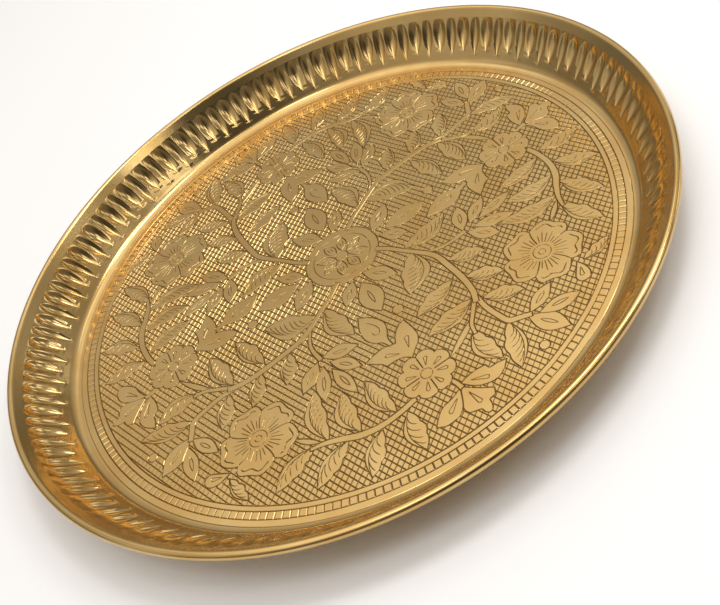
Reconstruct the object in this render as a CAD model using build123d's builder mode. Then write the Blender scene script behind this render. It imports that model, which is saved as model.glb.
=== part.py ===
"""Round brass serving tray, 305 mm across: one spun sheet whose edge is rolled over a hoop of wire.

Origin at the centre of the underside, +Z up, millimetres. The sheet's wall is made plain: the surface of
its cone is the line of the ridges between the flutes, which are pressed outwards from it.
"""
from math import acos, cos, degrees, radians, sin, tan
import os

from build123d import *

os.makedirs("parts", exist_ok=True)

# Overall
tray_diameter = 305.0
tray_height = 22.8
sheet = 0.8

# Section of the wall
wall_angle = 52.0  # from the floor's plane
cove_radius = 5.3  # on the upper face, between floor and wall

# Wired edge
wire_diameter = 2.0
wire_clearance = 0.03  # all round, between the wire and the curl
curl_gap = 0.1  # between the curl's end and the underside of the wall
wire_butt_gap = 1.0  # between the two ends of the wire

# Border round the floor: a groove on each side of a narrow band, and a plain flat edge outside it
flat_edge = 3.2
border_width = 3.3
groove_width = 0.5
groove_depth = 0.2

# The curl wraps the wire, and its outer face runs on from the wall's upper face
curl_bore = wire_diameter / 2 + wire_clearance
curl_radius = curl_bore + sheet
wire_x = tray_diameter / 2 - curl_radius
wire_z = tray_height - curl_radius
curl_start = 90 + wall_angle
curl_sweep = 360 - degrees(acos((curl_bore - curl_gap) / curl_radius))

# Points of the section on the upper face
slope = radians(wall_angle)
wall_top_x = wire_x - curl_radius * sin(slope)
wall_top_z = wire_z + curl_radius * cos(slope)
cove_top_z = sheet + cove_radius * (1 - cos(slope))
cove_top_x = wall_top_x - (wall_top_z - cove_top_z) / tan(slope)
floor_radius = cove_top_x - cove_radius * sin(slope)
cove_centre = (floor_radius, sheet + cove_radius)
wall_foot = (cove_top_x + sheet * sin(slope), cove_top_z - sheet * cos(slope))
border_outer = floor_radius - flat_edge
border_inner = border_outer - border_width

# One sheet: floor, cove, wall and the curl round the wire
with BuildPart() as tray_pan:
    with BuildSketch(Plane.XZ):
        with BuildLine():
            Polyline((floor_radius, 0), (0, 0), (0, sheet), (floor_radius, sheet))
            CenterArc(cove_centre, cove_radius, -90, wall_angle)
            Line((cove_top_x, cove_top_z), (wall_top_x, wall_top_z))
            outer_curl = CenterArc((wire_x, wire_z), curl_radius, curl_start, -curl_sweep)
            inner_curl = CenterArc((wire_x, wire_z), curl_bore, curl_start, -curl_sweep)
            Line(outer_curl @ 1, inner_curl @ 1)
            Line(inner_curl @ 0, wall_foot)
            CenterArc(cove_centre, cove_radius + sheet, -90, wall_angle)
        make_face()
        for groove_radius in (border_inner, border_outer):
            with Locations((groove_radius, sheet)):
                Rectangle(groove_width, 2 * groove_depth, mode=Mode.SUBTRACT)
    revolve(axis=Axis.Z)
tray_pan.part.label = "tray_pan"
export_step(tray_pan.part, "parts/tray_pan.step")

# Hoop of wire inside the curl, its two ends butted with a small gap
with BuildPart() as rim_wire:
    with BuildSketch(Plane.XZ):
        with Locations((wire_x, wire_z)):
            Circle(wire_diameter / 2)
    revolve(axis=Axis.Z, revolution_arc=360 - degrees(wire_butt_gap / wire_x))
rim_wire.part.label = "rim_wire"
export_step(rim_wire.part, "parts/rim_wire.step")

print(f"floor radius {floor_radius:.2f}, wall top {wall_top_x:.2f} {wall_top_z:.2f}, wire at {wire_x:.2f} {wire_z:.2f}")
print(f"cove top {cove_top_x:.2f} {cove_top_z:.2f}, border {border_inner:.2f} to {border_outer:.2f}")
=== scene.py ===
import math

import bmesh
import bpy
import numpy as np
from mathutils import Matrix, Vector
from mathutils.geometry import delaunay_2d_cdt


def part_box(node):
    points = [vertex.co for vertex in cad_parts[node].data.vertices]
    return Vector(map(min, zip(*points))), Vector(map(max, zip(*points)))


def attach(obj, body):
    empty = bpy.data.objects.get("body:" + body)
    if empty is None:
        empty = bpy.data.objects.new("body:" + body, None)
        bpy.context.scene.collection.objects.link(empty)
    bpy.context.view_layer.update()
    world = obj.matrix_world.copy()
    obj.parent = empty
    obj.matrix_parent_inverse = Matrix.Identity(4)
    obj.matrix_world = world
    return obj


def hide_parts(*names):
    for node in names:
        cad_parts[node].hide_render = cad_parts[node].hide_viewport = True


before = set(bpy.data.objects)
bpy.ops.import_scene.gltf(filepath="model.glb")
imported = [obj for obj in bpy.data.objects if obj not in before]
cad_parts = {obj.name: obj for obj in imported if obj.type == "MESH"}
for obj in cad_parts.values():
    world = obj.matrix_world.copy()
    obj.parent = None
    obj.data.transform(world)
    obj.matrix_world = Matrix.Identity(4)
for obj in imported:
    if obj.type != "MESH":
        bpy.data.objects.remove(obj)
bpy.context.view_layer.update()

mm = 0.001
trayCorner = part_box("tray_pan")[1]
trayRadius = trayCorner.x / mm
trayHeight = trayCorner.z / mm

# Section of the sheet, as the CAD model has it, in millimetres and degrees
section = {
    "sheet": 0.8,
    "wallAngle": 52.0,
    "coveRadius": 5.3,
    "wireRadius": 1.0,
    "wireClearance": 0.03,
    "curlGap": 0.1,
}
slope = math.radians(section["wallAngle"])
sheet = section["sheet"]
curlBore = section["wireRadius"] + section["wireClearance"]
curlRadius = curlBore + sheet
wireX = trayRadius - curlRadius
wireZ = trayHeight - curlRadius
wallTop = np.array((wireX - curlRadius * math.sin(slope), wireZ + curlRadius * math.cos(slope)))
coveTopZ = sheet + section["coveRadius"] * (1 - math.cos(slope))
coveTop = np.array((wallTop[0] - (wallTop[1] - coveTopZ) / math.tan(slope), coveTopZ))
floorRadius = coveTop[0] - section["coveRadius"] * math.sin(slope)
wallLength = float(np.hypot(*(wallTop - coveTop)))
upWall = np.array((math.cos(slope), math.sin(slope)))
outOfWall = np.array((math.sin(slope), -math.cos(slope)))
print(f"section: floor radius {floorRadius:.1f}, wall {wallLength:.1f} long")


def linearColour(code):
    values = [int(code[i:i + 2], 16) / 255 for i in (1, 3, 5)]
    return [v / 12.92 if v <= 0.04045 else ((v + 0.055) / 1.055) ** 2.4 for v in values] + [1.0]


def addNode(tree, kind, settings=None, values=None, links=None):
    node = tree.nodes.new(kind)
    for name, value in (settings or {}).items():
        setattr(node, name, value)
    for name, value in (values or {}).items():
        node.inputs[name].default_value = value
    for name, source in (links or {}).items():
        tree.links.new(source, node.inputs[name])
    return node


# The engraving. Every place is in millimetres on the floor and belongs to the first quarter of the
# pattern: the other three are the same quarter turned about the point where the die was centred.
engraving = {
    "centre": (0.9, 1.5),  # the die sat a little off the tray's axis
    "fieldRadius": 121.2,
    "lineHalfWidth": 0.32,
    "fineHalfWidth": 0.22,
    "cutAngle": 38.0,  # of each side of the cut, from the floor
    "hatchPitch": 2.45,
    "hatchAngles": (39.5, 112.5),
    "hatchHalfWidth": 0.34,
    "taperLength": 1.0,  # at the free end of a line
    "mitre": 0.6,  # the least cosine that a side line's mitre is worked out with
    "step": 0.35,  # between the points of a line before it is thinned out
    "tolerance": 0.06,
    "paintedShadeDepth": 0.15,  # depth where a cut's painted shade is as dark as it gets
}
dieCentre = np.array(engraving["centre"])


def turned(points, degrees, about=dieCentre):
    a = math.radians(degrees)
    turn = np.array(((math.cos(a), -math.sin(a)), (math.sin(a), math.cos(a))))
    return (np.asarray(points, float) - about) @ turn.T + about


def bow(start, end, bulge, lean=0.5, count=24):
    # From start to end, standing out by bulge to the left. Lean moves the widest place towards the end.
    a, b = np.array(start, float), np.array(end, float)
    along = b - a
    left = np.array((-along[1], along[0])) / np.hypot(*along)
    t = np.linspace(0, 1, count)
    rise = np.sin(math.pi * t ** (math.log(0.5) / math.log(lean)))
    return a + t[:, None] * along + (bulge * rise)[:, None] * left


def smooth(points, count=8):
    # A curve through given points
    p = np.array(points, float)
    p = np.vstack((2 * p[0] - p[1], p, 2 * p[-1] - p[-2]))
    t = np.linspace(0, 1, count, endpoint=False)[:, None]
    runs = []
    for a, b, c, d in zip(p[:-3], p[1:-2], p[2:-1], p[3:]):
        square, cube = 2 * a - 5 * b + 4 * c - d, 3 * b - a - 3 * c + d
        runs.append(0.5 * (2 * b + (c - a) * t + square * t ** 2 + cube * t ** 3))
    return np.vstack(runs + [p[-2:-1]])


def corners(*runs):
    # A closed outline of smooth runs that meet at corners
    return np.vstack([smooth(run)[:-1] for run in runs])


def closed(points):
    return np.vstack((points, points[:1]))


def drop(start, end, width):
    # A small tear, pointed at the start and round at the end
    a, b = np.array(start, float), np.array(end, float)
    along = (b - a) / np.hypot(*(b - a))
    left = np.array((-along[1], along[0]))
    r = width / 2
    angle = np.linspace(-1.9, 1.9, 12)
    cap = b - r * along + r * (np.cos(angle)[:, None] * along + np.sin(angle)[:, None] * left)
    return np.vstack((a, cap, a))


def ring(centre, radius, count=28):
    angle = np.linspace(0, 2 * math.pi, count + 1)
    return np.array(centre) + radius * np.column_stack((np.cos(angle), np.sin(angle)))


def motif(outline, lines=(), fine=()):
    return {"outline": outline, "lines": list(lines), "fine": list(fine)}


def plainLeaf(root, tip, leftBulge, rightBulge, vein=(0.28, 0.72)):
    left = bow(root, tip, leftBulge, 0.5)
    right = bow(root, tip, -rightBulge, 0.5)
    root, tip = np.array(root, float), np.array(tip, float)
    a, b = root + vein[0] * (tip - root), root + vein[1] * (tip - root)
    lens = [bow(a, b, 0.75), bow(a, b, -0.75)]
    return motif(np.vstack((left, right[::-1][1:-1])), fine=lens if vein[1] > vein[0] else [])


feather = {
    "scallop": 0.9,  # mm, how far the lobes stand out
    "lineInset": 0.68,  # of the smooth edge's bow, for the line along it
    "firstStroke": 0.05,  # shares of the leaf's length
    "strokeSpan": 0.66,
    "strokeLean": (0.17, 0.25),  # how far along a stroke bends, and ends
    "strokeReach": 0.74,  # of the way over to the scalloped edge
    "strokeBend": 0.1,
}


def featherLeaf(base, tip, belly, crown, strokes, lobes=3):
    # One smooth edge with a line along it, one scalloped edge, and curved strokes between, all swept to the
    # tip. Belly and crown are how far the two edges stand out.
    side = math.copysign(1, belly)
    smoothEdge = bow(base, tip, belly, 0.5, 30)
    crownEdge = bow(base, tip, -side * crown, 0.52, 60)
    t = np.linspace(0, 1, 60)
    across = np.array(tip, float) - np.array(base, float)
    across = -side * np.array((-across[1], across[0])) / np.hypot(*across)
    scallop = feather["scallop"] * np.abs(np.sin(math.pi * lobes * t)) * np.sin(math.pi * t) ** 0.5
    crownEdge = crownEdge + scallop[:, None] * across
    inner = bow(base, tip, belly * feather["lineInset"], 0.5, 60)
    reach = len(inner) - 1
    cuts = []
    for k in range(strokes):
        start = feather["firstStroke"] + feather["strokeSpan"] * (k + 0.5) / strokes
        i, j, m = (min(reach, int(reach * (start + lean))) for lean in (0, *feather["strokeLean"]))
        end = inner[m] + feather["strokeReach"] * (crownEdge[m] - inner[m])
        pull = inner[j] + feather["strokeBend"] * (end - inner[j])
        s = np.linspace(0, 1, 8)[:, None]
        cuts.append((1 - s) ** 2 * inner[i] + 2 * s * (1 - s) * pull + s ** 2 * end)
    outline = np.vstack((smoothEdge, crownEdge[::-1][1:-1]))
    return motif(outline, fine=[inner[3:57]] + cuts)


def stem(points, widths):
    line = smooth(points)
    d = np.gradient(line, axis=0)
    d /= np.hypot(d[:, 0], d[:, 1])[:, None]
    w = np.interp(np.linspace(0, 1, len(line)), np.linspace(0, 1, len(widths)), widths)[:, None] / 2
    left = np.column_stack((-d[:, 1], d[:, 0]))
    return motif(np.vstack((line + w * left, (line - w * left)[::-1])))


largeBlossom = {
    "notch": 13.4,  # mm, from the centre to the gap between two petals
    "petal": 3.5,  # how much further a petal reaches
    "frill": 0.6,
    "inset": 2.5,  # of the line inside a petal's edge
    "insetFrill": 0.35,
    "seam": (4.4, 13.4),  # between two petals, from and to
    "seamSway": 0.05,  # radians
    "rays": 5,  # in each petal
    "rayStart": 4.7,
    "rayEnd": (8.6, 2.4, 0.7),  # least, how much more in the middle of the petal, and for every second ray
    "rings": (3.8, 1.5),
}


def bigFlower(centre, turn, petals=5):
    c = np.array(centre)
    shape = largeBlossom
    seamStart, seamEnd = shape["seam"]
    least, inMiddle, everySecond = shape["rayEnd"]
    outline, lines, fine = [], [], []

    def at(angle, radius):
        return c + np.atleast_1d(radius)[:, None] * np.column_stack((np.cos(angle), np.sin(angle)))

    for k in range(petals):
        first = math.radians(turn + 360 * k / petals)
        u = np.linspace(0, 1, 40)
        angle = first + u * 2 * math.pi / petals
        edge = shape["notch"] + shape["petal"] * (1 - np.abs(2 * u - 1) ** 4)
        edge += shape["frill"] * np.sin(4 * math.pi * u)
        outline.append(at(angle, edge)[:-1])
        inside = slice(5, 35)
        waves = shape["insetFrill"] * np.sin(6 * math.pi * u[inside])
        lines.append(at(angle[inside], edge[inside] - shape["inset"] - waves))
        spoke = np.linspace(seamStart, seamEnd, 14)
        sway = shape["seamSway"] * np.sin(math.pi * (spoke - seamStart) / (seamEnd - seamStart))
        lines.append(at(np.full(14, first) + sway, spoke))
        for n in range(shape["rays"]):
            v = (n + 1) / (shape["rays"] + 1)
            rayEnd = least + inMiddle * math.sin(math.pi * v) + everySecond * (n % 2)
            reach = np.linspace(shape["rayStart"], rayEnd, 6)
            fine.append(at(np.full(6, first + v * 2 * math.pi / petals), reach))
    outerRing, innerRing = shape["rings"]
    fine += [ring(c, outerRing), ring(c, innerRing, 16)]
    return motif(np.vstack(outline), lines, fine)


smallBlossom = {
    "radius": 10.0,  # mm, to the gap between two lobes
    "lobe": 2.0,
    "lobeBlunt": 0.55,  # less is blunter
    "eye": 2.5,
    "seamStarts": (2.7, 8.6),  # long and short by turns
    "seamEnd": 10.1,
    "drop": (3.7, 8.6, 1.6),  # start, end, width
}


def smallFlower(centre, lobes=8):
    c = np.array(centre)
    shape = smallBlossom
    dropStart, dropEnd, dropWidth = shape["drop"]
    angle = np.linspace(0, 2 * math.pi, 161)[:-1]
    edge = shape["radius"] + shape["lobe"] * np.abs(np.sin(lobes * angle / 2)) ** shape["lobeBlunt"]
    unit = np.column_stack((np.cos(angle), np.sin(angle)))
    lines, fine = [], [ring(c, shape["eye"], 20)]
    for k in range(lobes):
        a = 2 * math.pi * k / lobes
        out = np.array((math.cos(a), math.sin(a)))
        lines.append(c + np.linspace(shape["seamStarts"][k % 2], shape["seamEnd"], 6)[:, None] * out)
        a += math.pi / lobes
        out = np.array((math.cos(a), math.sin(a)))
        fine.append(drop(c + dropStart * out, c + dropEnd * out, dropWidth))
    return motif(c + edge[:, None] * unit, lines, fine)


def blossoms():
    yield bigFlower((66.6, -66.3), 10)
    yield smallFlower((0.7, -85.7))


def budsAndSprays():
    yield motif(
        corners(
            [(-9, -38.5), (-4, -43), (-1.2, -49), (-2, -54), (-3.6, -58), (-3.2, -62.5)],
            [(-3.2, -62.5), (-4.9, -62.5)],
            [(-4.9, -62.5), (-6.5, -58.5), (-9.5, -56), (-11.6, -51.5), (-11.4, -45.5), (-9, -38.5)],
        ),
        fine=[smooth([(-7.6, -43.5), (-5.2, -47.2), (-4.3, -50.8), (-5.5, -53.2), (-7.4, -52.2),
                      (-7.6, -49.8)])],
    )
    yield motif(
        corners(
            [(-4.2, -62.3), (-7.5, -61.3), (-12, -61.7), (-17, -63)],
            [(-17, -63), (-13.5, -66.5), (-11.3, -68.6), (-10.3, -71)],
            [(-10.3, -71), (-6.5, -71), (-3, -71.8), (0, -74.6)],
            [(0, -74.6), (2.4, -71.8), (5.4, -69), (6.9, -65.5), (6.9, -60.5), (5.7, -54)],
            [(5.7, -54), (2.2, -55.8), (-0.8, -59.2), (-2.3, -63)],
            [(-2.3, -63), (-4.2, -62.3)],
        ),
        fine=[drop((0.9, -69.3), (2.8, -62.8), 1.9), drop((-3, -69.4), (-8.6, -65.7), 1.8)],
    )
    yield stem([(6.6, -95.5), (7.6, -98.5), (8.2, -102)], (1.8, 2.4))
    yield motif(
        corners(
            [(7.6, -101), (3, -103.2), (-1.6, -104.2), (-5.2, -107), (-8, -110.7)],
            [(-8, -110.7), (-4, -112.8), (1, -112.3), (4.6, -109), (7.6, -101)],
        ),
        fine=[drop((4.8, -104.2), (-1, -108.8), 1.8)],
    )
    yield motif(
        corners(
            [(8, -101), (5.6, -106), (4, -110.5), (4.7, -113.3), (7.4, -114.6)],
            [(7.4, -114.6), (9.2, -115.3), (9.7, -117.4), (11.3, -118.6), (13.1, -117), (13.6, -113.6)],
            [(13.6, -113.6), (16.4, -113), (17.7, -110.2)],
            [(17.7, -110.2), (14, -107.2), (11, -104.2), (8, -101)],
        ),
        fine=[drop((9, -104.6), (10.7, -112.4), 1.9)],
    )
    yield motif(
        corners(
            [(8.6, -99.5), (12, -98.6), (16, -98.2), (20.2, -98.8)],
            [(20.2, -98.8), (20.9, -101), (24, -101.2), (27.9, -102.2)],
            [(27.9, -102.2), (24.5, -105.8), (20, -107.6), (15, -106.2), (11.2, -103.2), (8.6, -99.5)],
        ),
        fine=[drop((12, -100.8), (18.8, -104.5), 1.8)],
    )
    yield motif(
        corners(
            [(73.6, -81.5), (71, -85), (68.6, -88.6), (69.3, -91.4), (72.2, -92.2), (74.6, -90), (75, -86),
             (73.6, -81.5)],
        ),
        fine=[drop((73.2, -84.6), (71.2, -89.2), 1.7)],
    )
    for centre, radius in (((6.6, -47.2), 2.5), ((42, -107.2), 2.2)):
        yield motif(ring(centre, radius)[:-1])


def vine():
    # Stems: the middle line, and the widths along it
    for line, widths in (
        (((14.5, -7), (19.5, -12.5), (23.5, -18.5), (28.5, -25.5), (32.6, -32.5), (34, -41), (35.2, -52),
          (35, -62), (33, -69)), (2.6, 2.2, 2.8, 3.0, 2.6)),
        (((30, -27), (36, -30), (42, -31), (49.5, -30)), (1.4, 1.8, 2.4)),
        (((34, -66), (29.5, -72.5), (25.8, -78), (24.8, -83)), (2.4, 2.0, 1.6)),
        (((34.5, -66), (34.6, -74), (36.2, -82), (38, -87), (42, -89), (46.5, -91)), (2.4, 2.6, 2.8, 2.4)),
        (((95.5, -7.5), (97, -15), (97.2, -24), (95.2, -32), (91.5, -38.5), (88.4, -45), (87, -51)),
         (2.6, 2.8, 3.2, 2.6, 1.6)),
    ):
        yield stem(line, widths)
    # Feathered leaves: base, tip, smooth edge, scalloped edge, strokes
    for leaf in (
        ((24.5, -17.4), (47.8, -13), -7.4, 2.4, 6),
        ((25.5, -22), (14, -44), 9.2, 3.2, 7),
        ((35.4, -39.5), (50.4, -47), -3.6, 3.8, 5),
        ((32, -50.5), (10.4, -57.5), 4.6, 3.4, 5),
        ((36.4, -53.5), (50.2, -63), -3.7, 3.4, 5),
        ((32.5, -66), (9.6, -70), 5.4, 3.2, 6),
        ((36, -69), (51.2, -77.8), -4.0, 3.6, 5),
        ((24.8, -80.5), (27.2, -101), -6.4, 1.9, 4),
        ((37.4, -87), (30, -110), 5.0, 3.2, 6),
        ((95.8, -16), (73, -19.8), 5.6, 2.2, 6),
        ((94, -31), (70.8, -29.5), 7.2, 1.4, 6),
        ((88.6, -43), (61.8, -38.3), 7.4, 1.2, 7),
        ((98.6, -12.5), (118.8, -14.4), -5.4, 2.8, 4),
        ((99, -24), (115.2, -36.2), -5.0, 2.6, 4),
        ((94, -36.5), (105.2, -55.4), -5.0, 2.6, 5),
        ((86.8, -49), (95.2, -69.6), -5.2, 2.4, 5),
        ((76, -82.5), (90.5, -79.5), -3.2, 1.6, 4),
    ):
        yield featherLeaf(*leaf)
    # Plain leaves with a vein: root, tip, left edge, right edge
    for leaf in (
        ((48.6, -29.5), (54, -14), 3.9, 3.5),
        ((53, -27.6), (65.2, -17.4), 3.4, 3.1),
        ((57, -28.2), (76.2, -24.4), 3.0, 3.3),
        ((53, -30.6), (70.6, -37.2), 3.2, 3.6),
        ((49.4, -31.5), (60.2, -43.2), 3.8, 3.6),
        ((46, -90), (60.4, -82.4), 3.3, 3.2),
        ((48.6, -92.6), (66.6, -95.3), 3.2, 3.9),
        ((44.4, -90.8), (54.6, -106.6), 4.6, 4.6),
        ((0.9, -20.8), (0.9, -42.8), 5.5, 5.5),
        ((3.6, -15.5), (15.6, -28.4), 4.0, 4.4),
        ((19.5, -0.9), (30.8, -9.8), 3.4, 3.6),
    ):
        yield plainLeaf(*leaf)
    for leaf in (((29.5, -73.5), (11, -86), 2.0, 0.9), ((87.4, -45.5), (77.8, -54.8), 1.5, 1.1)):
        yield plainLeaf(*leaf, vein=(0, 0))


def wreath():
    # A rosette of small petals in a plain round band, which the stems grow from
    yield motif(ring(dieCentre, 3.0)[:-1])
    for k in range(8):
        a = math.radians(45 * k + 22.5)
        out = np.array((math.cos(a), math.sin(a)))
        yield plainLeaf(dieCentre + 3.4 * out, dieCentre + 12.2 * out, 2.3, 2.3, vein=(0.3, 0.75))
    yield motif(ring(dieCentre, 17.5, 72)[:-1], fine=[ring(dieCentre, 13.6, 60)])


def covered(points, polygon):
    # Which points lie inside a closed outline, by counting crossings
    found = np.zeros(len(points), bool)
    near = np.flatnonzero(((points >= polygon.min(0)) & (points <= polygon.max(0))).all(1))
    if len(near):
        x, y = points[near, :1], points[near, 1:]
        a, b = polygon, np.roll(polygon, -1, 0)
        rise = np.where(b[:, 1] == a[:, 1], 1, b[:, 1] - a[:, 1])
        crossing = a[:, 0] + (b[:, 0] - a[:, 0]) * (y - a[:, 1]) / rise
        hits = ((a[:, 1] > y) != (b[:, 1] > y)) & (x < crossing)
        found[near] = hits.sum(1) % 2 == 1
    return found


def spread(line, step):
    lengths = np.concatenate(([0], np.cumsum(np.hypot(*np.diff(line, axis=0).T))))
    at = np.linspace(0, lengths[-1], max(3, int(lengths[-1] / step) + 1))
    return np.column_stack([np.interp(at, lengths, line[:, k]) for k in (0, 1)])


def thinned(line, tolerance):
    # Drops the points that the line's shape can do without
    keep = np.zeros(len(line), bool)
    keep[[0, -1]] = True
    spans = [(0, len(line) - 1)]
    while spans:
        i, j = spans.pop()
        if j - i < 2:
            continue
        chord = line[j] - line[i]
        inner = line[i + 1:j] - line[i]
        length = float(np.hypot(*chord))
        if length > 1e-6:
            off = np.abs(chord[0] * inner[:, 1] - chord[1] * inner[:, 0]) / length
        else:
            off = np.hypot(*inner.T)
        k = int(off.argmax())
        if off[k] > tolerance:
            keep[i + 1 + k] = True
            spans += [(i, i + 1 + k), (i + 1 + k, j)]
    return line[keep]


def visibleRuns(line, covers, fieldRadius):
    # The stretches of a line that no nearer motif covers and that lie in the field
    hidden = np.hypot(*line.T) > fieldRadius
    low, high = line.min(0), line.max(0)
    for cover, coverLow, coverHigh in covers:
        if (coverLow <= high).all() and (coverHigh >= low).all():
            hidden |= covered(line, cover)
    runs, start = [], None
    for i, gone in enumerate(list(hidden) + [True]):
        if not gone and start is None:
            start = i
        if gone and start is not None:
            if i - start > 2:
                runs.append((start, i))
            start = None
    return runs


def engravedLines():
    # Every cut of the pattern, front motifs first: points, half width, does its start taper, does its end
    radius, step = engraving["fieldRadius"], engraving["step"]
    cuts, covers = [], []

    def cut(line, halfWidth, free):
        for i, j in visibleRuns(line, covers, radius):
            cuts.append((line[i:j], halfWidth, free and i == 0, free and j == len(line)))

    for group in (blossoms, budsAndSprays, vine, wreath):
        for shape in group():
            for quarter in range(4 if group is not wreath else 1):
                parts = [(closed(shape["outline"]), engraving["lineHalfWidth"], False)]
                parts += [(line, engraving["lineHalfWidth"], True) for line in shape["lines"]]
                parts += [(line, engraving["fineHalfWidth"], True) for line in shape["fine"]]
                for line, halfWidth, free in parts:
                    cut(spread(turned(line, 90 * quarter), step / 2), halfWidth, free)
                outline = turned(shape["outline"], 90 * quarter)
                covers.append((outline, outline.min(0), outline.max(0)))
    for degrees in engraving["hatchAngles"]:
        a = math.radians(degrees)
        along, across = np.array((math.cos(a), math.sin(a))), np.array((-math.sin(a), math.cos(a)))
        count = int(radius / engraving["hatchPitch"])
        for k in range(-count, count + 1):
            offset = k * engraving["hatchPitch"]
            reach = math.sqrt(radius ** 2 - offset ** 2)
            line = np.array((offset * across - reach * along, offset * across + reach * along))
            cut(spread(line, step / 2), engraving["hatchHalfWidth"], False)
    return cuts


def ribbon(line, halfWidth, startTapers, endTapers):
    # Half widths along a thinned line, with an extra point near each end that tapers out
    line = thinned(line, engraving["tolerance"])
    for tapers, first, second in ((startTapers, 0, 1), (endTapers, -1, -2)):
        gap = float(np.hypot(*(line[second] - line[first])))
        if tapers and gap > 1.6 * engraving["taperLength"]:
            extra = line[first] + engraving["taperLength"] * (line[second] - line[first]) / gap
            line = np.insert(line, 1 if first == 0 else len(line) - 1, extra, axis=0)
    widths = np.full(len(line), float(halfWidth))
    if startTapers:
        widths[0] = 0
    if endTapers:
        widths[-1] = 0
    return line, widths


def sideLine(line, widths, side):
    d = np.diff(line, axis=0)
    d /= np.maximum(np.hypot(*d.T), 1e-9)[:, None]
    normals = np.column_stack((-d[:, 1], d[:, 0]))
    before, after = np.vstack((normals[:1], normals)), np.vstack((normals, normals[-1:]))
    mean = before + after
    mean /= np.maximum((mean * after).sum(1), engraving["mitre"])[:, None]  # kept short at sharp turns
    return line + side * widths[:, None] * mean


def cutDepths(points, ribbons):
    # Depth of each point below the flat, from the nearest cuts
    reach, cell = 0.6, 1.6  # mm, a little past the widest cut, and the side of a cell of the search grid
    steep = math.tan(math.radians(engraving["cutAngle"]))
    starts, ends, startWidths, endWidths = [], [], [], []
    for line, widths in ribbons:
        for a, b, wa, wb in zip(line[:-1], line[1:], widths[:-1], widths[1:]):
            pieces = max(1, math.ceil(float(np.hypot(*(b - a))) / (2 * (cell - reach))))
            t = np.linspace(0, 1, pieces + 1)
            at, width = a + t[:, None] * (b - a), wa + t * (wb - wa)
            starts.append(at[:-1])
            ends.append(at[1:])
            startWidths.append(width[:-1])
            endWidths.append(width[1:])
    a, b = np.vstack(starts), np.vstack(ends)
    wa, wb = np.concatenate(startWidths), np.concatenate(endWidths)
    stride = 4096

    def cellOf(p):
        i = np.floor(p / cell).astype(int) + stride // 2
        return i[:, 0] * stride + i[:, 1]

    owner = cellOf((a + b) / 2)
    order = np.argsort(owner, kind="stable")
    owner, a, b, wa, wb = owner[order], a[order], b[order], wa[order], wb[order]
    depth = np.zeros(len(points))
    home = cellOf(points)
    for shift in (i * stride + j for i in (-1, 0, 1) for j in (-1, 0, 1)):
        first = np.searchsorted(owner, home + shift, "left")
        last = np.searchsorted(owner, home + shift, "right")
        for k in range(int((last - first).max())):
            some = np.flatnonzero(first + k < last)
            n = first[some] + k
            run = b[n] - a[n]
            offset = points[some] - a[n]
            t = np.clip((offset * run).sum(1) / np.maximum((run ** 2).sum(1), 1e-12), 0, 1)
            gap = np.hypot(*(offset - t[:, None] * run).T)
            here = (wa[n] + t * (wb[n] - wa[n]) - gap) * steep
            depth[some] = np.maximum(depth[some], here)
    return depth


def newPiece(name, points, faces, attributes=None):
    mesh = bpy.data.meshes.new(name)
    mesh.from_pydata((np.asarray(points) * mm).tolist(), [], faces)
    for label, values in (attributes or {}).items():
        mesh.attributes.new(label, "FLOAT", "POINT").data.foreach_set("value", np.asarray(values, np.float32))
    mesh.validate()
    piece = bpy.data.objects.new(name, mesh)
    bpy.context.scene.collection.objects.link(piece)
    return piece


def finishMesh(piece, sharpAngle):
    # Every piece is a closed skin, so its faces can all be turned outwards
    work = bmesh.new()
    work.from_mesh(piece.data)
    bmesh.ops.recalc_face_normals(work, faces=work.faces)
    openEdges = sum(1 for edge in work.edges if not edge.is_manifold)
    volume = work.calc_volume() / mm ** 3
    work.to_mesh(piece.data)
    work.free()
    piece.data.shade_smooth()
    piece.data.set_sharp_from_angle(angle=math.radians(sharpAngle))
    piece.data.calc_loop_triangles()
    triangles = len(piece.data.loop_triangles)
    print(f"{piece.name}: {triangles} triangles, {openEdges} open edges, {volume:.0f} mm3")


# Border between the field and the cove: two grooves with small squares between them
border = {
    "squares": 240,
    "innerRadius": 121.6,  # where the engraved field stops
    "rails": (123.5, 126.8),
    "railHalfWidth": 0.32,
    "rungHalfWidth": 0.42,
    "depth": 0.24,
    "creaseHalfWidth": 0.28,  # of the line between the flat edge and the cove
    "creaseDepth": 0.14,
}
squarePitch = 2 * math.pi / border["squares"]
rungTurn = border["rungHalfWidth"] / sum(border["rails"]) * 2
squareTurns = (0, rungTurn, squarePitch - rungTurn)
borderTurns = [k * squarePitch + turn for k in range(border["squares"]) for turn in squareTurns]


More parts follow.
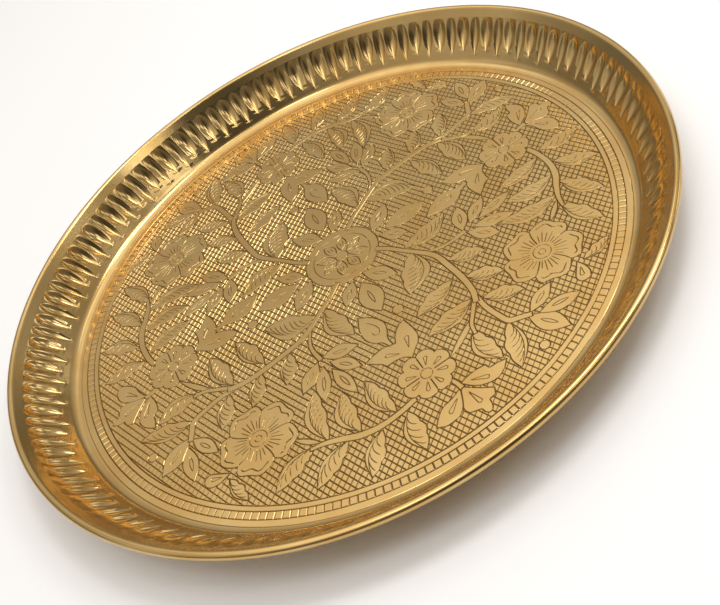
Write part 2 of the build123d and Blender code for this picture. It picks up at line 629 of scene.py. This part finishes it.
def engravedFloor():
    ribbons = [ribbon(*entry) for entry in engravedLines()]
    angle = np.linspace(0, 2 * math.pi, 361)
    edge = engraving["fieldRadius"] * np.column_stack((np.cos(angle), np.sin(angle)))
    ribbons.append((edge, np.full(len(edge), engraving["lineHalfWidth"])))
    rim = border["innerRadius"] * np.array([(math.cos(a), math.sin(a)) for a in borderTurns])
    points, edges = [rim], [(i, (i + 1) % len(rim)) for i in range(len(rim))]
    total = len(rim)
    for line, widths in ribbons:
        for side in (-1, 0, 1):
            run = sideLine(line, widths, side)
            points.append(run)
            edges += [(i, i + 1) for i in range(total, total + len(run) - 1)]
            total += len(run)
    flat = [Vector(p) for p in np.vstack(points)]
    verts, _, faces, *_ = delaunay_2d_cdt(flat, edges, [], 0, 1e-4, False)
    top = np.array([tuple(v) for v in verts])
    depth = np.maximum(cutDepths(top, ribbons), 0)
    count = len(top)
    print(f"engraving: {len(ribbons)} cuts, {count} points, {len(faces)} triangles")
    rimIndex = np.flatnonzero(np.hypot(*top.T) > border["innerRadius"] - 1e-3)
    rimIndex = rimIndex[np.argsort(np.arctan2(top[rimIndex, 1], top[rimIndex, 0]))]
    depth[rimIndex] = 0
    lower = top[rimIndex]
    solid = np.vstack((np.column_stack((top, sheet - depth)), np.column_stack((lower, np.zeros(len(lower))))))
    n = len(rimIndex)
    faces = [tuple(face) for face in faces]
    for i in range(n):
        j = (i + 1) % n
        faces.append((int(rimIndex[i]), count + i, count + j, int(rimIndex[j])))
    faces.append(tuple(count + i for i in reversed(range(n))))
    # Share of painted shade at each point, from how deep it lies in a cut; it also raises the roughness there
    cut = np.concatenate((np.clip(depth / engraving["paintedShadeDepth"], 0, 1), np.zeros(n)))
    return newPiece("engraved_floor", solid, faces, {"cut": cut})


joinDistance = 0.002 * mm  # between the same points of two neighbouring sectors


def ringOfCopies(name, sector, copies, material):
    # One sector, turned round the tray's axis and joined up
    tree = bpy.data.node_groups.new(name + "_tree", "GeometryNodeTree")
    sockets = {}
    for label, kind, way in (
        ("Sector", "NodeSocketGeometry", "INPUT"),
        ("Copies", "NodeSocketInt", "INPUT"),
        ("Join distance", "NodeSocketFloat", "INPUT"),
        ("Finish", "NodeSocketMaterial", "INPUT"),
        ("Ring", "NodeSocketGeometry", "OUTPUT"),
    ):
        sockets[label] = tree.interface.new_socket(label, in_out=way, socket_type=kind).identifier
    given = addNode(tree, "NodeGroupInput")
    places = addNode(tree, "GeometryNodeMeshLine", values={"Offset": (0, 0, 0)},
                     links={"Count": given.outputs["Copies"]})
    step = addNode(tree, "ShaderNodeMath", {"operation": "DIVIDE"})
    step.inputs[0].default_value = 2 * math.pi
    tree.links.new(given.outputs["Copies"], step.inputs[1])
    index = addNode(tree, "GeometryNodeInputIndex")
    turn = addNode(tree, "ShaderNodeMath", {"operation": "MULTIPLY"})
    tree.links.new(index.outputs[0], turn.inputs[0])
    tree.links.new(step.outputs[0], turn.inputs[1])
    spin = addNode(tree, "ShaderNodeCombineXYZ", links={"Z": turn.outputs[0]})
    copied = addNode(tree, "GeometryNodeInstanceOnPoints", links={
        "Points": places.outputs["Mesh"], "Instance": given.outputs["Sector"], "Rotation": spin.outputs[0]})
    real = addNode(tree, "GeometryNodeRealizeInstances", links={"Geometry": copied.outputs["Instances"]})
    joined = addNode(tree, "GeometryNodeMergeByDistance", links={
        "Geometry": real.outputs["Geometry"], "Distance": given.outputs["Join distance"]})
    dressed = addNode(tree, "GeometryNodeSetMaterial", links={
        "Geometry": joined.outputs["Geometry"], "Material": given.outputs["Finish"]})
    addNode(tree, "NodeGroupOutput", links={"Ring": dressed.outputs["Geometry"]})
    modifier = sector.modifiers.new("Copies", "NODES")
    modifier.node_group = tree
    modifier[sockets["Copies"]] = copies
    modifier[sockets["Join distance"]] = joinDistance
    modifier[sockets["Finish"]] = material
    depsgraph = bpy.context.evaluated_depsgraph_get()
    mesh = bpy.data.meshes.new_from_object(sector.evaluated_get(depsgraph), depsgraph=depsgraph)
    sector.modifiers.clear()
    old = sector.data
    sector.data = mesh
    bpy.data.meshes.remove(old)
    mesh.name = name
    return sector


def gridSkin(inner, outer, wrap=False):
    # Two sheets of rows by columns, joined along the first and the last row. The sides stay open unless the
    # columns wrap.
    rows, columns = inner.shape[:2]
    size = rows * columns
    faces = []
    for r in range(rows - 1):
        for c in range(columns if wrap else columns - 1):
            d = (c + 1) % columns
            a, b, e, f = r * columns + c, r * columns + d, (r + 1) * columns + d, (r + 1) * columns + c
            faces += [(a, b, e, f), (size + f, size + e, size + b, size + a)]
    last = (rows - 1) * columns
    for c in range(columns if wrap else columns - 1):
        d = (c + 1) % columns
        faces += [(c, size + c, size + d, d), (last + d, size + last + d, size + last + c, last + c)]
    return np.vstack((inner.reshape(-1, 3), outer.reshape(-1, 3))), faces


def borderSector():
    inRail, outRail = border["rails"]
    w, crease = border["railHalfWidth"], border["creaseHalfWidth"]
    rows = [(border["innerRadius"], 0, 0), (inRail - w, 0, 0), (inRail, 1, 1), (inRail + w, 0, 1),
            (outRail - w, 0, 1), (outRail, 1, 1), (outRail + w, 0, 0), (floorRadius - 2 * crease, 0, 0),
            (floorRadius - crease, border["creaseDepth"] / border["depth"], 0), (floorRadius, 0, 0)]
    turns = [*squareTurns, squarePitch]
    upper, lower = [], []
    for radius, rail, rung in rows:
        for turn in turns:
            cut = max(rail, rung if turn in (0, squarePitch) else 0)
            x, y = radius * math.cos(turn), radius * math.sin(turn)
            upper.append((x, y, sheet - cut * border["depth"]))
            lower.append((x, y, 0))
    shape = (len(rows), len(turns), 3)
    points, faces = gridSkin(np.array(upper).reshape(shape), np.array(lower).reshape(shape))
    # The same painted-shade share for the grooves and the crease, from each point's depth
    cut = (sheet - points[:, 2]) / border["depth"] * (points[:, 2] > 0)
    return newPiece("border_ring", points, faces, {"cut": cut})


# Flutes: pressed outwards, a wide one and a narrow one by turns, pointed below and round above
flutes = {
    "pairs": 64,
    "wideShare": 0.56,  # of a pair's pitch
    "ridge": 0.022,  # share of a pair's pitch, between two flutes
    "wide": {"start": 3.6, "depth": 1.6},
    "narrow": {"start": 1.8, "depth": 1.35},
    "end": 20.4,  # up the wall from the cove
    "pointLength": 11.0,
    "roundLength": 7.5,
    "across": 8,
    "leastWidth": 0.1,  # share of a flute's width that its columns keep where the wall is smooth
    "curlLead": 1.0,  # smooth wall that belongs to the rolled edge
    "coveRows": 6,
    # rows up the wall, closer where the flutes start and end
    "rows": (0, 1, 1.9, 2.3, 2.8, 3.3, 3.8, 4.3, 4.9, 5.6, 6.5, 7.5, 8.7, 10, 11.4, 12.8, 14.2, 15.6, 16.7,
             17.4, 18, 18.6, 19.1, 19.5, 19.85, 20.1, 20.28, 20.4, 20.6, 21.6),
}


def fluteShape(s, kind):
    # Half width and depth at s up the wall, as shares of the full ones
    start, end = flutes[kind]["start"], flutes["end"]
    if s <= start or s >= end:
        return 0.0, 0.0
    rise = min(1.0, (s - start) / flutes["pointLength"])
    crown = max(0.0, (s - (end - flutes["roundLength"])) / flutes["roundLength"])
    top = max(0.0, 1 - crown ** 2)
    return (1 - (1 - rise) ** 2) * math.sqrt(top), (1 - (1 - rise) ** 2) * top


def wallSector():
    cove = [("cove", slope * k / flutes["coveRows"]) for k in range(flutes["coveRows"])]
    ups = [*flutes["rows"], wallLength - flutes["curlLead"]]
    pitch = 2 * math.pi / flutes["pairs"]
    ridge = flutes["ridge"] * pitch
    wide = flutes["wideShare"] * pitch
    narrow = pitch - wide
    spans = (("wide", wide / 2, (wide - ridge) / 2), ("narrow", wide + narrow / 2, (narrow - ridge) / 2))
    inner, outer = [], []
    for place, value in cove + [("wall", s) for s in ups]:
        if place == "cove":
            base = np.array((floorRadius, sheet + section["coveRadius"]))
            out = np.array((math.sin(value), -math.cos(value)))
            base = base + section["coveRadius"] * out
        else:
            base, out = coveTop + value * upWall, outOfWall
        columns = [(0.0, 0.0)]
        for kind, centre, half in spans:
            width, depth = fluteShape(value, kind) if place == "wall" else (0.0, 0.0)
            for k in range(flutes["across"] + 1):
                across = 2 * k / flutes["across"] - 1
                reach = half * max(width, flutes["leastWidth"])
                columns.append((centre + across * reach, depth * flutes[kind]["depth"] * (1 - across ** 2)))
            columns.append((wide if kind == "wide" else pitch, 0.0))
        for turn, depth in columns:
            for skin, thickness in ((inner, 0.0), (outer, sheet)):
                radius, z = base + (depth + thickness) * out
                skin.append((radius * math.cos(turn), radius * math.sin(turn), z))
    shape = (-1, 2 * flutes["across"] + 5, 3)
    points, faces = gridSkin(np.array(inner).reshape(shape), np.array(outer).reshape(shape))
    return newPiece("fluted_wall", points, faces)


edgePoints = {"round the curl": 33, "round the tray": 384}


def rolledEdge():
    # The top of the wall and the curl round the wire, turned on the tray's axis
    start = math.radians(90 + section["wallAngle"])
    sweep = 2 * math.pi - math.acos((curlBore - section["curlGap"]) / curlRadius)
    arc = start - np.linspace(0, sweep, edgePoints["round the curl"])
    centre = np.array((wireX, wireZ))
    foot = coveTop + (wallLength - flutes["curlLead"]) * upWall
    unit = np.column_stack((np.cos(arc), np.sin(arc)))
    half = (foot + wallTop) / 2
    faceLine = np.vstack((foot, half, centre + curlRadius * unit))
    backLine = np.vstack((foot + sheet * outOfWall, half + sheet * outOfWall, centre + curlBore * unit))
    turns = np.linspace(0, 2 * math.pi, edgePoints["round the tray"], endpoint=False)

    def lathe(line):
        spun = [[(x * math.cos(t), x * math.sin(t), z) for t in turns] for x, z in line]
        return np.array(spun)

    points, faces = gridSkin(lathe(faceLine), lathe(backLine), wrap=True)
    return newPiece("rolled_edge", points, faces)


# Brass, CuZn37: a yellow metal with a warm brown in its own reflections. Two finishes, by how each part
# was worked.
brassFinish = {
    "bright": "#D0B176",
    "brown": "#C5A062",  # where handling has dulled it a little
    "paintedCutShade": "#6B5431",  # painted shade in the cuts, darker the deeper the cut
    "cloudSize": 26.0,  # mm, of the duller patches
    "cloudEdges": (0.35, 0.68),  # the noise levels where a patch starts and is full
    "floorRoughness": (0.15, 0.21),
    "wallRoughness": (0.17, 0.22),
    "floorBumps": (0.25, 0.035),  # strength of the polishing lines, and of the slow waves
    "wallBumps": (0.1, 0.02),
    "cutRoughness": 0.34,
    "hairline": (0.35, 9.0),  # mm, width and length of the polishing lines, coarser than real ones to show
    "hairAngle": 35,
    "hairDepth": 0.03,  # mm
    "dimple": 7.0,  # mm, across the slow waves that pressing leaves
    "dimpleDepth": 0.4,  # mm
}


def brassMaterial(name, roughness, bumps, hasCuts):
    material = bpy.data.materials.new(name)
    material.use_nodes = True
    tree = material.node_tree
    shader = tree.nodes["Principled BSDF"]
    shader.inputs["Metallic"].default_value = 1.0
    place = addNode(tree, "ShaderNodeTexCoord")
    cloudScale = 1 / (brassFinish["cloudSize"] * mm)
    cloud = addNode(tree, "ShaderNodeTexNoise", values={"Scale": cloudScale, "Detail": 5.0},
                    links={"Vector": place.outputs["Object"]})
    lowest, highest = brassFinish["cloudEdges"]
    level = addNode(tree, "ShaderNodeMapRange", values={"From Min": lowest, "From Max": highest},
                    links={"Value": cloud.outputs["Fac"]})
    colour = addNode(tree, "ShaderNodeMix", {"data_type": "RGBA"})
    tree.links.new(level.outputs["Result"], colour.inputs["Factor"])
    colourIn = [socket for socket in colour.inputs if socket.type == "RGBA"]
    colourOut = [socket for socket in colour.outputs if socket.type == "RGBA"][0]
    colourIn[0].default_value = linearColour(brassFinish["bright"])
    colourIn[1].default_value = linearColour(brassFinish["brown"])
    rough = addNode(tree, "ShaderNodeMapRange", values={"To Min": roughness[0], "To Max": roughness[1]},
                    links={"Value": level.outputs["Result"]})
    roughOut = rough.outputs["Result"]
    # Painted shade in the cuts: the colour is mixed towards the cut shade by each point's cut share, and the
    # roughness rises with it
    if hasCuts:
        cut = addNode(tree, "ShaderNodeAttribute", {"attribute_name": "cut"})
        dark = addNode(tree, "ShaderNodeMix", {"data_type": "RGBA"})
        darkIn = [socket for socket in dark.inputs if socket.type == "RGBA"]
        tree.links.new(cut.outputs["Fac"], dark.inputs["Factor"])
        tree.links.new(colourOut, darkIn[0])
        darkIn[1].default_value = linearColour(brassFinish["paintedCutShade"])
        colourOut = [socket for socket in dark.outputs if socket.type == "RGBA"][0]
        dull = addNode(tree, "ShaderNodeMapRange", values={"To Max": brassFinish["cutRoughness"]},
                       links={"Value": cut.outputs["Fac"], "To Min": roughOut})
        roughOut = dull.outputs["Result"]
    tree.links.new(colourOut, shader.inputs["Base Color"])
    tree.links.new(roughOut, shader.inputs["Roughness"])
    hairStrength, dimpleStrength = bumps
    width, length = brassFinish["hairline"]
    lie = addNode(tree, "ShaderNodeMapping", links={"Vector": place.outputs["Object"]}, values={
        "Rotation": (0, 0, math.radians(brassFinish["hairAngle"])), "Scale": (width / length, 1, 1)})
    hair = addNode(tree, "ShaderNodeTexNoise", values={"Scale": 1 / (width * mm), "Detail": 2.0},
                   links={"Vector": lie.outputs["Vector"]})
    dimpleScale = 1 / (brassFinish["dimple"] * mm)
    dimple = addNode(tree, "ShaderNodeTexNoise", values={"Scale": dimpleScale, "Detail": 1.0},
                     links={"Vector": place.outputs["Object"]})
    depth = brassFinish["dimpleDepth"] * mm
    wave = addNode(tree, "ShaderNodeBump", values={"Strength": dimpleStrength, "Distance": depth},
                   links={"Height": dimple.outputs["Fac"]})
    depth = brassFinish["hairDepth"] * mm
    scratch = addNode(tree, "ShaderNodeBump", values={"Strength": hairStrength, "Distance": depth},
                      links={"Height": hair.outputs["Fac"], "Normal": wave.outputs["Normal"]})
    tree.links.new(scratch.outputs["Normal"], shader.inputs["Normal"])
    return material


# Drawn steel wire, bright and plain: grey with a tight highlight along it
steelFinish = {
    "dark": "#8D8F92",
    "pale": "#B9BBBD",
    "patch": 4.0,  # mm, of the drawing oil's stains
    "roughness": (0.28, 0.45),
}


def drawnSteel():
    material = bpy.data.materials.new("drawn_steel_wire")
    material.use_nodes = True
    tree = material.node_tree
    shader = tree.nodes["Principled BSDF"]
    shader.inputs["Metallic"].default_value = 1.0
    place = addNode(tree, "ShaderNodeTexCoord")
    grainScale = 1 / (steelFinish["patch"] * mm)
    grain = addNode(tree, "ShaderNodeTexNoise", values={"Scale": grainScale, "Detail": 4.0},
                    links={"Vector": place.outputs["Object"]})
    tone = addNode(tree, "ShaderNodeValToRGB", links={"Fac": grain.outputs["Fac"]})
    tone.color_ramp.elements[0].color = linearColour(steelFinish["dark"])
    tone.color_ramp.elements[1].color = linearColour(steelFinish["pale"])
    smoothest, roughest = steelFinish["roughness"]
    rough = addNode(tree, "ShaderNodeMapRange", values={"To Min": smoothest, "To Max": roughest},
                    links={"Value": grain.outputs["Fac"]})
    tree.links.new(tone.outputs["Color"], shader.inputs["Base Color"])
    tree.links.new(rough.outputs["Result"], shader.inputs["Roughness"])
    return material


floorFinish = brassFinish["floorRoughness"], brassFinish["floorBumps"]
wallFinish = brassFinish["wallRoughness"], brassFinish["wallBumps"]
engravedBrass = brassMaterial("satin_polished_brass", *floorFinish, hasCuts=True)
wallBrass = brassMaterial("burnished_brass", *wallFinish, hasCuts=False)

floorPiece = engravedFloor()
floorPiece.data.materials.append(engravedBrass)
borderPiece = ringOfCopies("border_ring", borderSector(), border["squares"], engravedBrass)
wallPiece = ringOfCopies("fluted_wall", wallSector(), flutes["pairs"], wallBrass)
edgePiece = rolledEdge()
edgePiece.data.materials.append(wallBrass)
for piece, sharpAngle in ((floorPiece, 6), (borderPiece, 6), (wallPiece, 40), (edgePiece, 50)):
    finishMesh(piece, sharpAngle)
    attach(piece, "root")
    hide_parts("tray_pan")
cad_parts["rim_wire"].data.materials.clear()
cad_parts["rim_wire"].data.materials.append(drawnSteel())
print("pieces are made")

# Camera, in millimetres: it looks down on the tray from the near side and is rolled to the right
view = {
    "place": (-14.4, -349.2, 284.2),
    "aim": (30.0, -38.9, 0.8),
    "roll": -28.3,
    "lens": 50.8,
    "shift": (-0.106, -0.05),
}


def placeCamera():
    camera = bpy.data.objects.new("camera", bpy.data.cameras.new("camera"))
    bpy.context.scene.collection.objects.link(camera)
    place, aim = Vector(view["place"]) * mm, Vector(view["aim"]) * mm
    turn = (aim - place).to_track_quat("-Z", "Y").to_matrix().to_4x4()
    roll = Matrix.Rotation(math.radians(view["roll"]), 4, "Z")
    camera.matrix_world = Matrix.Translation(place) @ turn @ roll
    camera.data.lens = view["lens"]
    camera.data.sensor_width = 36.0
    camera.data.shift_x, camera.data.shift_y = view["shift"]
    camera.data.clip_start = 0.01
    bpy.context.scene.camera = camera


# Studio: soft square lights in a dim pale room with lighter patches, and a darker one behind the camera.
# Each stands at so many degrees round from the far side, clockwise from above, and so many degrees up.
studio = {
    "floorSide": 8.0,  # m
    "floorColour": "#FAFAFA",
    "floorRoughness": 0.9,
    "floorSpecular": 0.1,
    # around, up, watts
    "lights": ((90, 52, 2.6), (72, 70, 3.4), (45, 52, 0.4), (-144, 70, 1.1), (144, 70, 0.9),
               (90, 12, 0.6), (135, 52, 0.8), (60, 12, 0.4), (110, 30, 0.6), (-90, 12, 0.15)),
    "lightDistance": 1.4,
    "lightSide": 0.32,
    "roomColour": "#FFFAF4",
    "roomLevel": 0.21,
    # around, up, how much lighter than the room, or darker
    "patches": ((0, 42, 0.38), (45, 42, 0.42), (90, 42, 0.15), (-90, 42, 0.38), (-45, 42, 0.28), (0, 72, 0.9),
                (-120, 72, 0.9), (180, 42, -0.15)),
    "patchFade": (8, 34),  # degrees from its middle, where a patch starts and ends to fade
    "seenLevel": 0.92,
}


def bearing(around, up):
    a, e = math.radians(around), math.radians(up)
    return Vector((math.sin(a) * math.cos(e), math.cos(a) * math.cos(e), math.sin(e)))


def studioLights():
    for number, (around, up, watts) in enumerate(studio["lights"]):
        name = f"light_{number + 1}"
        light = bpy.data.lights.new(name, "AREA")
        light.size = studio["lightSide"]
        light.energy = watts
        holder = bpy.data.objects.new(name, light)
        bpy.context.scene.collection.objects.link(holder)
        toward = bearing(around, up)
        turn = toward.to_track_quat("Z", "Y").to_matrix().to_4x4()
        holder.matrix_world = Matrix.Translation(toward * studio["lightDistance"]) @ turn


def room():
    world = bpy.data.worlds.new("studio")
    bpy.context.scene.world = world
    world.use_nodes = True
    tree = world.node_tree
    place = addNode(tree, "ShaderNodeTexCoord")
    walls = tree.nodes["Background"]
    walls.inputs["Color"].default_value = linearColour(studio["roomColour"])
    inner, outer = (math.cos(math.radians(angle)) for angle in studio["patchFade"])
    level = None
    for around, up, light in studio["patches"]:
        near = addNode(tree, "ShaderNodeVectorMath", {"operation": "DOT_PRODUCT"})
        tree.links.new(place.outputs["Generated"], near.inputs[0])
        near.inputs[1].default_value = bearing(around, up)
        edge = addNode(tree, "ShaderNodeMapRange", {"interpolation_type": "SMOOTHSTEP"},
                       {"From Min": outer, "From Max": inner, "To Max": light},
                       {"Value": near.outputs["Value"]})
        total = addNode(tree, "ShaderNodeMath", {"operation": "ADD"})
        tree.links.new(edge.outputs["Result"], total.inputs[0])
        total.inputs[1].default_value = studio["roomLevel"]
        if level is not None:
            tree.links.new(level, total.inputs[1])
        level = total.outputs[0]
    tree.links.new(level, walls.inputs["Strength"])
    eye = addNode(tree, "ShaderNodeLightPath")
    plain = addNode(tree, "ShaderNodeBackground", values={"Strength": studio["seenLevel"]})
    plain.inputs["Color"].default_value = (1, 1, 1, 1)
    mixed = addNode(tree, "ShaderNodeMixShader", links={"Fac": eye.outputs["Is Camera Ray"]})
    tree.links.new(walls.outputs[0], mixed.inputs[1])
    tree.links.new(plain.outputs[0], mixed.inputs[2])
    tree.links.new(mixed.outputs[0], tree.nodes["World Output"].inputs["Surface"])


def studioFloor():
    half = studio["floorSide"] / 2
    mesh = bpy.data.meshes.new("studio_floor")
    corner = [(-half, -half, 0), (half, -half, 0), (half, half, 0), (-half, half, 0)]
    mesh.from_pydata(corner, [], [(0, 1, 2, 3)])
    floor = bpy.data.objects.new("studio_floor", mesh)
    bpy.context.scene.collection.objects.link(floor)
    material = bpy.data.materials.new("matt_paper")
    material.use_nodes = True
    shader = material.node_tree.nodes["Principled BSDF"]
    shader.inputs["Base Color"].default_value = linearColour(studio["floorColour"])
    shader.inputs["Roughness"].default_value = studio["floorRoughness"]
    shader.inputs["Specular IOR Level"].default_value = studio["floorSpecular"]
    mesh.materials.append(material)


placeCamera()
room()
studioLights()
studioFloor()
bpy.context.scene.view_settings.view_transform = "Standard"
print("studio is set")
